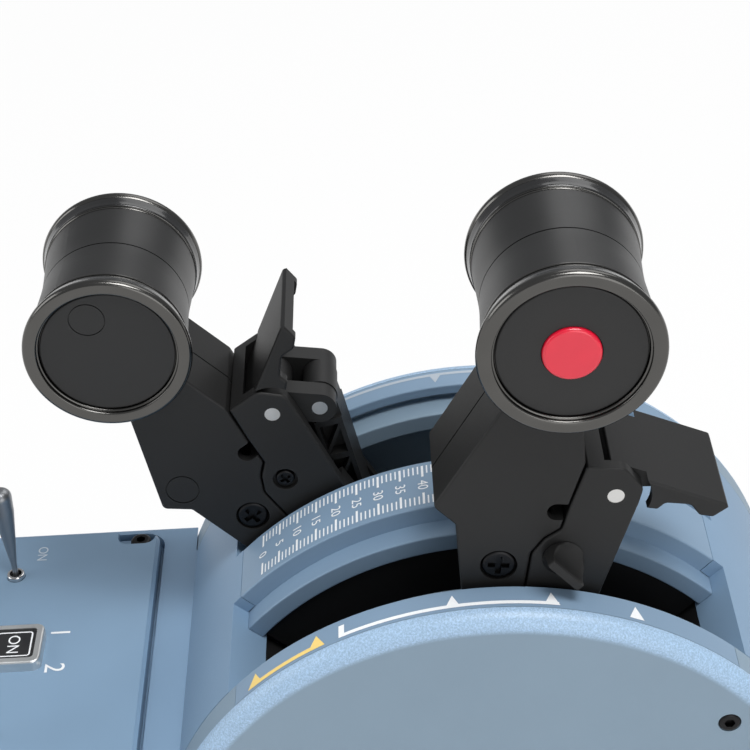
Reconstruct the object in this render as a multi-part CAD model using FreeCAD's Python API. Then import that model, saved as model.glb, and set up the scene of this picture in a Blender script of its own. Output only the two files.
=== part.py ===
"""Desk throttle quadrant for flight simulation: two thrust levers on a round drum, and a switch panel.

Units are millimetres. X runs to the pilot's right, Y forward, Z up. The row frame's origin is the centre
of the mounting holes, on the underside of the bottom plate. Everything is drawn about the lever shaft first,
with Y and Z measured from the shaft's axis, and is moved to the row frame when it is saved. A lever is drawn
upright on the right-hand side: the left one is its mirror image, and each is then tipped to its own angle.
"""
import FreeCAD
import Part
import math
import os

V = FreeCAD.Vector

# ---- overall -------------------------------------------------------------------------------------------
shaft_height = 34.0          # shaft axis above the underside of the bottom plate
shaft_setback = 41.0         # shaft axis forward of the mounting centre
half_width = 50.2            # side face of the cheeks and of the base
wall = 2.5                   # moulded wall of the housing
plate_thick = 3.0            # bottom plate
deck_z = 24.8                # top of the base deck, above the shaft
foot_height = 2.0
foot_radius = 7.0
corner_round = 6.0           # upright corners of the base
deck_pitch = 3.1             # the deck and its panel rise towards the drum

# ---- drum ----------------------------------------------------------------------------------------------
drum_r = 80.0
slot_back_angle = -51.7      # pilot's end of the lever slots, degrees forward of upright
slot_front_angle = 42.2
rib_back_angle = -49.6       # ends of the scale rib's top strip
rib_front_angle = 39.7
rib_half = 8.8
ledge_half = 14.6
ledge_step = 4.5              # depth of the ledges below the drum's face
ledge_thick = 4.5
ledge_top_r = drum_r - ledge_step
ledge_low_r = ledge_top_r - ledge_thick
rim_band = 6.9               # width of the marked band on a cheek
cheek_round = 4.0            # rounded rim outside the band
cheek_inner = half_width - rim_band - cheek_round      # slot side of each cheek
guide_ledge = 5.5            # width of a cheek's guide ledge
cheek_ledge = cheek_inner - guide_ledge                # slot side of that ledge
strip_thick = 2.4            # rim strip
seam = 0.25                  # gap between two mouldings that show a joint line
edge_round = 0.6
deck_round = 2.0
guard_depth = 30.0           # from the drum's face down to the black guard inside a slot
guard_r = drum_r - guard_depth
guard_thick = 2.0
flank_low_r = ledge_low_r - 1.0                        # lower end of the blue walls at the slots' ends
cheek_screw_r = drum_r - 10.6
cheek_screw_angles = (45.5, -100.0, 105.0)

# ---- shaft and frame -----------------------------------------------------------------------------------
shaft_r = 4.0
running = 0.05               # radial clearance of a running fit
frame_inner = cheek_inner - 5.7
frame_thick = 3.0
pedestal_half = 6.2
nut_thick = 3.2
bush_wall = 2.0
hub_r = 13.0
hub_inner = pedestal_half + 4.2
hub_outer = frame_inner - 1.2
magnet_thick = 1.0
detent_r = guard_r - guard_thick - 8.0
detent_depth = 1.2
detent_roller_r = 3.0
detent_roller_z = detent_r + detent_roller_r + 0.2
detent_pin_r = 1.2

# ---- lever ---------------------------------------------------------------------------------------------
lever_centre = (ledge_half + cheek_ledge) / 2          # middle of a lever, sideways
lever_half = 13.4
lever_length = 144.2         # shaft axis to grip axis
right_angle = 3.8            # rest angle, degrees forward of upright
left_angle = -38.3
lever_back = -39.3           # stop angles
lever_front = 26.0
ledge_gap = 0.6              # lever to scale rib ledge
shell_wall = 2.2
shell_low = guard_r + 8.0    # lower end of the lever's covers
spine_half = 6.0
pivot_pin = (15.0, 104.2)    # paddle pivot, forward and up from the shaft
pin_r = 1.85
crank = 11.2                 # paddle pivot to link pin
strut_length = 38.6
foot_y = 8.0
guide_pin_r = 1.5
guide_low = guard_r + 1.5    # lower end of the foot's guides
step_thick = 2.5
paddle_lift = 48.0           # degrees
carrier_wall = 3.0
fork_outer_half = 10.0       # outside of the paddle's fork, sideways from the lever's middle
fork_ear = 5.0
clear = 0.3                  # gap between moving mouldings
latch_hole = (5.2, 87.6)
latch_stem_r = 2.2
clamp_screw = (-8.1, 84.0)
clamp_sink = 1.4
hand_hole = (2.9, 99.3)
clamp_head_r = 3.8
small_head_r = 2.3
plug_spot = (-16.1, 100.8)
plug_r = 4.1

# ---- grip ----------------------------------------------------------------------------------------------
grip_half = 20.9
grip_r = 19.3
grip_waist_r = 17.4
grip_body_end_r = 18.0
ring_depth = 6.0
ring_bore_r = 15.7
cap_recess = 1.2
button_r = 6.1
button_travel = 1.5
button_proud = 0.9

# ---- control panel -------------------------------------------------------------------------------------
panel_half = half_width - 4.0
panel_length = 68.8
panel_front = -drum_r - 5.2
panel_back = panel_front - panel_length
front_y = panel_back - 8.0    # pilot's end of the base, from the shaft
deck_middle = panel_front - 35.8                       # where the pitched deck is deck_z high
panel_thick = 3.0            # part of the panel plate that is below the deck's top
panel_raise = 2.2            # part of it that stands above the deck's top
panel_corner = 4.4
panel_gap = 1.2
notch_inner = panel_half - 5.6
notch_length = 10.0
notch_depth = 3.4
panel_chamfer = 0.9
panel_screw_x = panel_half - 2.8
panel_screw_inset = 5.2
panel_head_r = 2.75
panel_head = 2.6             # height of a panel screw's head
toggle_x = 29.5
toggle_y = panel_front - 36.6
toggle_length = 29.0         # pivot to tip
bush_r = 2.3
bush_proud = 1.2
selector_y = panel_front - 54.8
selector_r = 9.0
selector_height = 13.0
square_y = panel_front - 33.0                          # square push button
square_half = 7.2
square_height = 3.0
square_travel = 1.2

# ---- mounting ------------------------------------------------------------------------------------------
mount_x = 40.0               # hole spacing
mount_y = 120.0
mount_hole_r = 2.25
plate_inset = 2.2
usb_z = -14.0
board_half = 30.0            # main board below the panel
board_height = 5.0
board_thick = 1.6

base_z = plate_thick - shaft_height          # top of the bottom plate
panel_top = deck_z + panel_raise
toggle_pivot_z = panel_top - 0.6
back_y = drum_r                              # far end of the base


# ---- shape helpers -------------------------------------------------------------------------------------
def corner(before, here, after, radius):
    """Tangent points and middle of a round corner in the drawing plane."""
    a = (before - here).normalize()
    b = (after - here).normalize()
    half = a.getAngle(b) / 2
    reach = radius / math.tan(half)
    middle = (a + b).normalize() * (radius / math.sin(half) - radius)
    return here + a * reach, here + middle, here + b * reach


def loop(points, place):
    """Closed wire through points (p, q) or (p, q, radius of the corner)."""
    spots = [place(p[0], p[1]) for p in points]
    count = len(points)
    corners = []
    for i, p in enumerate(points):
        radius = p[2] if len(p) > 2 else 0
        if radius > 0:
            corners.append(corner(spots[i - 1], spots[i], spots[(i + 1) % count], radius))
        else:
            corners.append((spots[i], None, spots[i]))
    edges = []
    for i, (first, middle, last) in enumerate(corners):
        if middle is not None:
            edges.append(Part.Arc(first, middle, last).toShape())
        start = corners[(i + 1) % count][0]
        if last.distanceToPoint(start) > 1e-6:
            edges.append(Part.LineSegment(last, start).toShape())
    return Part.Wire(edges)


def side_prism(points, x0, x1):
    """Outline in the side view (y, z), from x0 to x1."""
    face = Part.Face(loop(points, lambda p, q: V(x0, p, q)))
    return face.extrude(V(x1 - x0, 0, 0))


def top_prism(points, z0, z1):
    """Outline in the top view (x, y), from z0 to z1."""
    face = Part.Face(loop(points, lambda p, q: V(p, q, z0)))
    return face.extrude(V(0, 0, z1 - z0))


def box(x0, x1, y0, y1, z0, z1):
    return Part.makeBox(x1 - x0, y1 - y0, z1 - z0, V(x0, y0, z0))


def rod(y, z, radius, x0, x1):
    """Cylinder along X."""
    return Part.makeCylinder(radius, x1 - x0, V(x0, y, z), V(1, 0, 0))


def post(x, y, radius, z0, z1):
    """Cylinder along Z."""
    return Part.makeCylinder(radius, z1 - z0, V(x, y, z0), V(0, 0, 1))


def drum_sweep(section, a0, a1):
    """Section (x, radius) swept about the shaft from angle a0 to a1, degrees forward of upright."""
    face = Part.Face(loop(section, lambda p, q: V(p, 0, q)))
    face.rotate(V(0, 0, 0), V(-1, 0, 0), a0)
    return face.revolve(V(0, 0, 0), V(-1, 0, 0), a1 - a0)


def turned(section, y, z):
    """Section (x, radius) revolved about an axis along X through (y, z)."""
    face = Part.Face(loop(section, lambda p, q: V(p, 0, q)))
    solid = face.revolve(V(0, 0, 0), V(1, 0, 0), 360)
    solid.translate(V(0, y, z))
    return solid


def upright(section, x, y):
    """Section (radius, z) revolved about an upright axis through (x, y)."""
    face = Part.Face(loop(section, lambda p, q: V(p, 0, q)))
    solid = face.revolve(V(0, 0, 0), V(0, 0, 1), 360)
    solid.translate(V(x, y, 0))
    return solid


def joined(shapes):
    whole = shapes[0]
    for shape in shapes[1:]:
        whole = whole.fuse(shape)
    return whole.removeSplitter()


def polar(radius, angle):
    """(y, z) at a radius and an angle forward of upright."""
    a = math.radians(angle)
    return radius * math.sin(a), radius * math.cos(a)


def rounded_face(solid, radius, is_edge):
    """Rounds the edges of a solid that a test picks by their bounding box."""
    edges = [e for e in solid.Edges if is_edge(e.BoundBox)]
    return solid.makeFillet(radius, edges)


def on_plane_x(x):
    return lambda b: abs(b.XMin - x) < 1e-4 and abs(b.XMax - x) < 1e-4


def on_plane_z(z):
    return lambda b: abs(b.ZMin - z) < 1e-4 and abs(b.ZMax - z) < 1e-4


def mirrored(shape):
    return shape.mirror(V(0, 0, 0), V(1, 0, 0))


def cross_recess(radius, depth):
    """Cross-shaped driver recess, along X from x = 0 inwards to -depth."""
    arm = radius * 0.62
    thick = radius * 0.17
    upright_bar = box(-depth, 1, -thick, thick, -arm, arm)
    level_bar = box(-depth, 1, -arm, arm, -thick, thick)
    return joined([upright_bar, level_bar])


def hex_points(across, turn=0.0):
    r = across / math.sqrt(3)
    return [(r * math.cos(math.radians(60 * i + turn)),
             r * math.sin(math.radians(60 * i + turn))) for i in range(6)]


# ---- saving --------------------------------------------------------------------------------------------
os.makedirs("parts", exist_ok=True)


def save(name, solids):
    """Moves one node's solids to the row frame and writes them."""
    moved = []
    for solid in solids:
        copy = solid.copy()
        copy.translate(V(0, shaft_setback, shaft_height))
        moved.append(copy)
    shape = moved[0] if len(moved) == 1 else Part.makeCompound(moved)
    shape.exportStep("parts/" + name + ".step")


# ---- housing -------------------------------------------------------------------------------------------
panel_screws_at = [(sx * panel_screw_x, y) for sx in (-1, 1)
                   for y in (panel_back + panel_screw_inset, panel_front - panel_screw_inset)]
base_screws_at = [(sx * (half_width - 8.7), y) for sx in (-1, 1)
                  for y in (panel_back + 6.0, panel_front - 6.8)]
base_screws_at += [(sx * 30.0, drum_r - 18.0) for sx in (-1, 1)]
base_boss_r = 4.0
base_hole_r = 1.3
ledge_z = deck_z - panel_thick
support_z = ledge_z - wall


def pitched(shape):
    """Tips a piece of the switch panel, drawn level, to the pitch of the deck."""
    copy = shape.copy()
    copy.rotate(V(0, deck_middle, deck_z), V(1, 0, 0), deck_pitch)
    return copy


def deck_height(y):
    return deck_z + (y - deck_middle) * math.tan(math.radians(deck_pitch))


def above_deck(depth):
    """All that lies above the deck's plane, or above a plane at a depth below it."""
    return pitched(box(-half_width - 5, half_width + 5, front_y - 20, 60, deck_z - depth, drum_r + 60))


def make_housing():
    r = corner_round
    rear = top_prism([(half_width, 0), (half_width, back_y, r), (-half_width, back_y, r), (-half_width, 0)],
                     base_z, deck_z)
    rear = rounded_face(rear, deck_round, on_plane_z(deck_z))
    front = top_prism([(-half_width, front_y, r), (half_width, front_y, r), (half_width, 1),
                       (-half_width, 1)],
                      base_z, drum_r)
    front = front.cut(above_deck(0))
    rim = [e for e in front.Edges if e.BoundBox.YMax < 1.001 and e.BoundBox.YMin < 0.9
           and all(abs(deck_height(v.Y) - v.Z) < 1e-3 for v in e.Vertexes)]
    front = front.makeFillet(deck_round, rim)
    outer = joined([front, rear, rod(0, 0, drum_r, -cheek_inner, cheek_inner)])
    keep = box(-half_width, half_width, front_y, back_y, base_z, drum_r)
    outer = outer.common(keep)
    inside = half_width - wall
    r = corner_round - wall
    front_hollow = top_prism([(-inside, front_y + wall, r), (inside, front_y + wall, r), (inside, 1),
                              (-inside, 1)],
                             base_z - 1, drum_r)
    front_hollow = front_hollow.cut(above_deck(panel_thick + wall))
    rear_hollow = top_prism([(inside, 0), (inside, back_y - wall, r), (-inside, back_y - wall, r),
                             (-inside, 0)],
                            base_z - 1, support_z)
    drum_hollow = rod(0, 0, drum_r - wall, -cheek_inner - 1, cheek_inner + 1)
    body = outer.cut(front_hollow).cut(rear_hollow).cut(drum_hollow)
    # round side openings that take the cheeks
    for side in (-1, 1):
        opening = rod(0, 0, drum_r + seam, cheek_inner, half_width + 1)
        body = body.cut(opening if side > 0 else mirrored(opening))
    # lever slots, end walls and the tongues that meet the scale rib
    body = body.cut(drum_sweep([(-cheek_inner - 1, guard_r + 10), (cheek_inner + 1, guard_r + 10),
                                (cheek_inner + 1, drum_r + 1), (-cheek_inner - 1, drum_r + 1)],
                                slot_back_angle, slot_front_angle))
    wall_angle = math.degrees(wall / drum_r)
    flank = [(-cheek_inner, flank_low_r), (cheek_inner, flank_low_r), (cheek_inner, drum_r - 1),
             (-cheek_inner, drum_r - 1)]
    tongue = [(-rib_half, ledge_top_r + 0.2), (rib_half, ledge_top_r + 0.2), (rib_half, drum_r),
              (-rib_half, drum_r)]
    body = joined([body,
                   drum_sweep(flank, slot_back_angle - wall_angle, slot_back_angle),
                   drum_sweep(flank, slot_front_angle, slot_front_angle + wall_angle),
                   drum_sweep(tongue, slot_back_angle - 1, rib_back_angle - 0.15),
                   drum_sweep(tongue, rib_front_angle + 0.15, slot_front_angle + 1)])
    # seat and window for the control panel
    seat = panel_half + panel_gap
    r = panel_corner + panel_gap
    body = body.cut(pitched(top_prism([(-seat, panel_back - panel_gap, r), (seat, panel_back - panel_gap, r),
                                       (seat, panel_front + panel_gap, r),
                                       (-seat, panel_front + panel_gap, r)],
                                      ledge_z, deck_z + 2)))
    window = notch_inner - 1.2
    body = body.cut(pitched(box(-window, window, panel_back + 3, panel_front - 3, support_z - 1,
                                ledge_z + 1)))
    # screw bosses for the bottom plate
    for x, y in base_screws_at:
        top = support_z + 0.5 if abs(y) > drum_r + base_boss_r else -8.0
        body = body.fuse(post(x, y, base_boss_r, base_z, top))
        if top < 0:
            body = body.fuse(box(x - 1, x + 1, y, back_y - wall + 0.5, base_z, top))
        else:
            side = 1 if x > 0 else -1
            rib = box(min(x, side * (half_width - wall + 0.5)), max(x, side * (half_width - wall + 0.5)),
                      y - 1, y + 1, base_z, top)
            body = body.fuse(rib)
    for x, y in base_screws_at:
        body = body.cut(post(x, y, base_hole_r, base_z - 1, base_z + 12))
    for x, y in panel_screws_at:
        body = body.cut(pitched(post(x, y, 1.25, support_z - 4, deck_z)))
    # socket opening in the back wall
    body = body.cut(box(-4.8, 4.8, back_y - wall - 1, back_y + 1, usb_z - 1.9, usb_z + 1.9))
    return body.removeSplitter()


def make_cheek():
    """Right-hand cheek: a round cover with a rounded rim, a lip, a guide ledge and an inner wall."""
    lip_low = drum_r - strip_thick - 0.1
    section = [(half_width, 0), (half_width, drum_r, cheek_round), (cheek_inner, drum_r, 0.4),
               (cheek_inner, lip_low), (cheek_inner + 2.4, lip_low), (cheek_inner + 2.4, guard_r - 8),
               (cheek_inner + 4.4, guard_r - 8),
               (cheek_inner + 4.4, ledge_top_r), (half_width - wall, ledge_top_r), (half_width - wall, 0)]
    cheek = turned(section, 0, 0)
    cheek = cheek.common(box(0, half_width + 1, -drum_r - 1, drum_r + 1, base_z + 0.1, drum_r + 1))
    outer = cheek_inner + 2.6
    ledge = drum_sweep([(cheek_ledge, ledge_low_r, 0.4), (outer, ledge_low_r), (outer, ledge_top_r),
                        (cheek_ledge, ledge_top_r, 0.4)], slot_back_angle + 0.1, slot_front_angle - 0.1)
    cheek = cheek.fuse(ledge)
    band = cheek_inner + rim_band
    pocket = [(cheek_inner - 1, lip_low), (band, lip_low), (band, drum_r + 1), (cheek_inner - 1, drum_r + 1)]
    cheek = cheek.cut(drum_sweep(pocket, rib_back_angle, rib_front_angle))
    for angle in cheek_screw_angles:
        y, z = polar(cheek_screw_r, angle)
        cheek = cheek.cut(rod(y, z, 2.6, half_width - 1.2, half_width + 1))
        cheek = cheek.cut(rod(y, z, 1.6, half_width - wall - 1, half_width))
    return cheek.removeSplitter()


def make_rim_strip():
    low = drum_r - strip_thick
    band = cheek_inner + rim_band - 0.1
    section = [(cheek_inner, low), (band, low), (band, drum_r), (cheek_inner, drum_r, 0.4)]
    gap = 0.12
    return drum_sweep(section, rib_back_angle + gap, rib_front_angle - gap)


def make_cheek_screws(side):
    screws = []
    for angle in cheek_screw_angles:
        y, z = polar(cheek_screw_r, angle)
        head = turned([(half_width - 1.2, 0), (half_width - 1.2, 2.5), (half_width + 0.2, 2.5, 0.7),
                       (half_width + 0.2, 0)], y, z)
        shank = rod(y, z, 1.5, half_width - 6, half_width - 1.2)
        socket = side_prism([(y + p, z + q) for p, q in hex_points(2.2)], half_width - 0.9, half_width + 1)
        screw = head.fuse(shank).cut(socket)
        screws.append(screw if side > 0 else mirrored(screw))
    return screws


def make_scale_rib():
    strip = drum_sweep([(-rib_half, ledge_top_r - 1), (rib_half, ledge_top_r - 1), (rib_half, drum_r, 0.4),
                        (-rib_half, drum_r, 0.4)], rib_back_angle, rib_front_angle)
    ledges = drum_sweep([(-ledge_half, ledge_low_r, 0.4), (ledge_half, ledge_low_r, 0.4),
                         (ledge_half, ledge_top_r, 0.4), (-ledge_half, ledge_top_r, 0.4)],
                        slot_back_angle + 0.1, slot_front_angle - 0.1)
    inner = rib_half - 2.2
    hollow = drum_sweep([(-inner, ledge_low_r - 1), (inner, ledge_low_r - 1), (inner, drum_r - wall),
                         (-inner, drum_r - wall)], rib_back_angle + 2, rib_front_angle - 2)
    return joined([strip, ledges]).cut(hollow)


def make_guard():
    """Right-hand black guard under a slot: floor with a slit for the spine, lip, and two end walls."""
    inner = ledge_half - 2.6
    outer = cheek_inner - 0.3
    low = guard_r - guard_thick
    floor = drum_sweep([(inner, low), (outer, low), (outer, guard_r), (inner, guard_r)],
                       slot_back_angle - 6, slot_front_angle + 4)
    slit = spine_half + 1.2
    opening = [(lever_centre - slit, low - 1), (lever_centre + slit, low - 1),
               (lever_centre + slit, guard_r + 1),
               (lever_centre - slit, guard_r + 1)]
    floor = floor.cut(drum_sweep(opening, lever_back - 14.5, lever_front + 4))
    lip = drum_sweep([(inner, guard_r), (inner + 1.5, guard_r), (inner + 1.5, ledge_low_r - 0.3),
                      (inner, ledge_low_r - 0.3)], slot_back_angle + 0.5, slot_front_angle - 0.5)
    end = [(inner, guard_r), (outer, guard_r), (outer, flank_low_r - 0.2), (inner, flank_low_r - 0.2)]
    back_end = drum_sweep(end, slot_back_angle - 3.0, slot_back_angle - 1.1)
    front_end = drum_sweep(end, slot_front_angle + 0.1, slot_front_angle + 2.0)
    return [floor, lip, back_end, front_end]


def make_pedestal():
    """Centre pedestal: carries the shaft and the scale rib."""
    h = pedestal_half
    web = side_prism([(-44, base_z), (44, base_z), (44, base_z + 4), (20, -8, 8), (24, guard_r + 2),
                      (-24, guard_r + 2), (-20, -8, 8), (-44, base_z + 4)], -h, h)
    arch = drum_sweep([(-h, guard_r), (h, guard_r), (h, ledge_low_r - 0.8), (-h, ledge_low_r - 0.8)],
                      rib_back_angle + 4, rib_front_angle - 4)
    crown = drum_sweep([(-h, ledge_low_r - 1), (h, ledge_low_r - 1), (h, drum_r - wall - 0.1),
                        (-h, drum_r - wall - 0.1)], -12, 12)
    pedestal = joined([web, arch, crown])
    lighten = [side_prism([(s * 8, 18, 3), (s * 18, 18, 3), (s * 19, 46, 3), (s * 5, 46, 3)], -h - 1, h + 1)
               for s in (-1, 1)]
    for pocket in lighten:
        pedestal = pedestal.cut(pocket)
    return pedestal.cut(rod(0, 0, shaft_r + running, -h - 1, h + 1))


def make_frame():
    """Right-hand bearing plate for the shaft's end."""
    x0, x1 = frame_inner, frame_inner + frame_thick
    plate = side_prism([(-30, base_z), (30, base_z), (14, 8, 6), (6, 14, 5), (-6, 14, 5), (-14, 8, 6)], x0,
                       x1)
    foot = box(x0 - 8, x1, -26, 26, base_z, base_z + 2.5)
    plate = joined([plate, foot])
    return plate.cut(rod(0, 0, shaft_r + running, x0 - 1, x1 + 1))


def make_detent_sector():
    """Right-hand notched arc: one notch for each named lever position."""
    x0, x1 = frame_inner - 2.6, frame_inner
    low = detent_r - 9.0
    arc = drum_sweep([(x0, low), (x1, low), (x1, detent_r), (x0, detent_r)], -58, 50)
    legs = [side_prism([(s * 18, base_z + 2.5), (s * 26, base_z + 2.5), (s * 33, 16), (s * 24, 22)], x0, x1)
            for s in (-1, 1)]
    sector = joined([arc] + legs)
    for angle in (left_angle, -26.0, -8.0, right_angle, 15.0, lever_front):
        y, z = polar(detent_r + detent_roller_r - detent_depth, angle)
        sector = sector.cut(rod(y, z, detent_roller_r + 0.25, x0 - 1, x1 + 1))
    return sector.cut(rod(0, 0, 16, x0 - 1, x1 + 1))


def make_shaft():
    end = frame_inner + frame_thick + nut_thick + 0.6
    shaft = turned([(-end, 0), (-end, shaft_r, 0.6), (end, shaft_r, 0.6), (end, 0)], 0, 0)
    return shaft


def make_nut():
    x0 = frame_inner + frame_thick
    nut = side_prism(hex_points(11.0), x0, x0 + nut_thick)
    return nut.cut(rod(0, 0, shaft_r, x0 - 1, x0 + nut_thick + 1))


def washer(x0, x1, outer_r, inner_r):
    return rod(0, 0, outer_r, x0, x1).cut(rod(0, 0, inner_r, x0 - 1, x1 + 1))


# ---- bottom --------------------------------------------------------------------------------------------
def make_bottom_plate():
    h = half_width - plate_inset
    r = corner_round - 1
    plate = top_prism([(-h, front_y + plate_inset, r), (h, front_y + plate_inset, r),
                       (h, back_y - plate_inset, r), (-h, back_y - plate_inset, r)], base_z - plate_thick,
                       base_z)
    for x, y in base_screws_at:
        plate = plate.cut(post(x, y, 1.7, base_z - plate_thick - 1, base_z + 1))
        plate = plate.cut(post(x, y, 3.1, base_z - plate_thick - 1, base_z - plate_thick + 1.6))
    for sx in (-1, 1):
        for sy in (-1, 1):
            plate = plate.cut(post(sx * mount_x / 2, sy * mount_y / 2 - shaft_setback, mount_hole_r,
                                   base_z - plate_thick - 1, base_z + 1))
    return plate


def make_base_screws():
    low = base_z - plate_thick
    screws = []
    for x, y in base_screws_at:
        head = upright([(0, low + 0.2), (2.9, low + 0.2, 0.3), (2.9, low + 1.6), (0, low + 1.6)], x, y)
        screw = head.fuse(post(x, y, 1.25, low + 1.6, base_z + 11))
        cross = cross_recess(2.6, 0.9)
        cross.rotate(V(0, 0, 0), V(0, 1, 0), 90)
        cross.translate(V(x, y, low + 0.2))
        screws.append(screw.cut(cross))
    return screws


def make_feet():
    top = base_z - plate_thick
    spots = [(sx * (half_width - 12.2), y) for sx in (-1, 1) for y in (front_y + 30.0, drum_r - 24.0)]
    return [upright([(0, top - foot_height), (foot_radius, top - foot_height, 0.6), (foot_radius, top),
                     (0, top)], x, y)
            for x, y in spots]


# ---- control panel -------------------------------------------------------------------------------------
def make_panel():
    h = panel_half
    r = panel_corner
    plate = top_prism([(-h, panel_back, r), (h, panel_back, r), (h, panel_front, r), (-h, panel_front, r)],
                      ledge_z, panel_top)
    top_edges = [e for e in plate.Edges if on_plane_z(panel_top)(e.BoundBox)]
    plate = plate.makeChamfer(panel_chamfer, top_edges)
    for sx in (-1, 1):
        for y0, y1 in ((panel_front - 1.2 - notch_length, panel_front - 1.2),
                       (panel_back + 1.2, panel_back + 1.2 + notch_length)):
            outer = sx * (h + 2)
            inner = sx * notch_inner
            plate = plate.cut(top_prism([(outer, y0), (outer, y1), (inner, y1, 3.0), (inner, y0, 3.0)],
                                        panel_top - notch_depth, panel_top + 1))
    for x, y in panel_screws_at:
        plate = plate.cut(post(x, y, 1.6, ledge_z - 1, panel_top + 1))
    for sx in (-1, 1):
        plate = plate.cut(post(sx * toggle_x, toggle_y, bush_r + 0.1, ledge_z - 1, panel_top + 1))
    plate = plate.cut(post(0, selector_y, 3.6, ledge_z - 1, panel_top + 1))
    s = square_half - 1.0
    return plate.cut(box(-s, s, square_y - s, square_y + s, ledge_z - 1, panel_top + 1))


def make_panel_screws():
    screws = []
    seat = panel_top - notch_depth
    for x, y in panel_screws_at:
        head = upright([(0, seat), (panel_head_r, seat), (panel_head_r, seat + panel_head, 0.9),
                        (0, seat + panel_head)], x, y)
        screw = head.fuse(post(x, y, 1.2, support_z - 3, seat))
        socket = top_prism([(x + p, y + q) for p, q in hex_points(2.2)], seat + 0.9, seat + 4)
        screws.append(screw.cut(socket))
    return screws


def square(half, radius, z0, z1):
    y = square_y
    return top_prism([(-half, y - half, radius), (half, y - half, radius), (half, y + half, radius),
                      (-half, y + half, radius)], z0, z1)


def make_square_bezel():
    """Bezel of the square push button, with its switch box below the panel."""
    top = panel_top + square_height
    rim = rounded_face(square(square_half, 2.2, panel_top, top), 0.6, on_plane_z(top))
    neck = square(square_half - 1.1, 0.5, ledge_z - 7, panel_top + 0.1)
    inside = square(square_half - 1.8, 1.0, ledge_z - 4, top + 1)
    return joined([rim, neck]).cut(inside)


def make_square_button():
    return square(square_half - 1.9, 0.9, ledge_z - 2, panel_top + square_height - 0.4)


def make_toggle_body(side):
    x, y = side * toggle_x, toggle_y
    top = panel_top + bush_proud
    body = box(x - 6.5, x + 6.5, y - 4, y + 4, ledge_z - 14, ledge_z - 1.5)
    bush = upright([(0, ledge_z - 1.6), (bush_r, ledge_z - 1.6), (bush_r, top, 0.4), (0, top)], x, y)
    socket = upright([(0, toggle_pivot_z - 1.2), (1.2, toggle_pivot_z - 1.2), (1.7, top + 1),
                      (0, top + 1)], x, y)
    tabs = [box(x - 0.4, x + 0.4, y + s * 2.6 - 0.9, y + s * 2.6 + 0.9, ledge_z - 18, ledge_z - 13.9)
            for s in (-1, 0, 1)]
    return joined([body, bush] + tabs).cut(socket)


def make_toggle_nut(side):
    x, y = side * toggle_x, toggle_y
    nut = top_prism([(x + p, y + q) for p, q in hex_points(7.0, 15)], ledge_z - 1.5, ledge_z)
    return nut.cut(post(x, y, bush_r, ledge_z - 2, ledge_z + 1))


def make_toggle_bat(side):
    """Bat lever, upright about its pivot, in its middle position."""
    bat = upright([(0, -0.8), (0.7, -0.8), (0.75, 5), (1.6, 12), (2.7, 22, 2.0), (2.9, toggle_length, 2.2),
                   (0, toggle_length)], 0, 0)
    bat = bat.fuse(rod(0, 0, 0.9, -0.8, 0.8))
    bat.translate(V(side * toggle_x, toggle_y, toggle_pivot_z))
    return bat


def make_selector_knob():
    y = selector_y
    z0 = panel_top + 0.5
    skirt = upright([(0, z0), (selector_r, z0), (selector_r, z0 + 3, 0.8), (0, z0 + 3)], 0, y)
    bar = top_prism([(-2.6, y - 7.6, 2.2), (2.6, y - 7.6, 2.2), (2.2, y + 8.2, 1.6), (-2.2, y + 8.2, 1.6)],
                    z0 + 2, z0 + selector_height)
    bar = rounded_face(bar, 0.8, on_plane_z(z0 + selector_height))
    knob = joined([skirt, bar])
    return knob.cut(post(0, y, 2.05, z0 - 1, z0 + 9))


def make_selector_switch():
    y = selector_y
    body = post(0, y, 8.5, ledge_z - 15, ledge_z - 3)
    bush = post(0, y, 3.5, ledge_z - 3.1, panel_top + 0.3)
    shaft = post(0, y, 2.0, panel_top, panel_top + 9)
    return joined([body, bush, shaft])


# ---- electrics -----------------------------------------------------------------------------------------
def make_main_board():
    low = base_z + board_height
    top = low + board_thick
    back = panel_back + 4.0
    front = panel_front - 12.8
    board = box(-board_half, board_half, back, front, low, top)
    chips = [box(-8, 6, back + 18, back + 32, top - 0.1, top + 1.4),
             box(12, 22, back + 38, back + 46, top - 0.1, top + 2.4)]
    posts = [post(sx * (board_half - 4), y, 2.2, base_z, low + 0.1) for sx in (-1, 1)
             for y in (back + 4, front - 4)]
    return joined([board] + chips + posts)


def make_usb_socket():
    z = usb_z
    shell = side_prism([(back_y - wall - 5.5, z - 1.75, 0.4), (back_y - 0.4, z - 1.75),
                        (back_y - 0.4, z + 1.75),
                        (back_y - wall - 5.5, z + 1.75, 0.4)], -4.6, 4.6)
    mouth = box(-4.1, 4.1, back_y - wall - 3.5, back_y + 1, z - 1.25, z + 1.25)
    tongue = box(-3.4, 3.4, back_y - wall - 3.6, back_y - 1.2, z - 0.35, z + 0.35)
    board = box(-12, 12, back_y - wall - 16, back_y - wall - 0.4, z - 3.35, z - 1.75)
    legs = [box(sx * 9 - 1.5, sx * 9 + 1.5, back_y - wall - 12, back_y - wall - 9, base_z, z - 3.3)
            for sx in (-1, 1)]
    return joined([shell.cut(mouth), tongue, board] + legs)


def make_hall_board():
    x0 = frame_inner + frame_thick
    board = box(x0, x0 + 1.2, -9, 9, -30, -9)
    chip = box(x0 + 1.1, x0 + 2.2, -3, 3, -15, -11)
    return joined([board, chip])


# ---- lever: right-hand one, upright --------------------------------------------------------------------
grip_axis = (0.0, lever_length)
x_in = lever_centre - lever_half
x_out = lever_centre + lever_half
x_slot = ledge_half + ledge_gap              # side faces of the lever where it passes between the ledges
x_slot_out = cheek_ledge - ledge_gap
shoulder_r = ledge_top_r + ledge_gap
step_z = shoulder_r + 1.9                    # top of the step in the lever's sides

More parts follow.
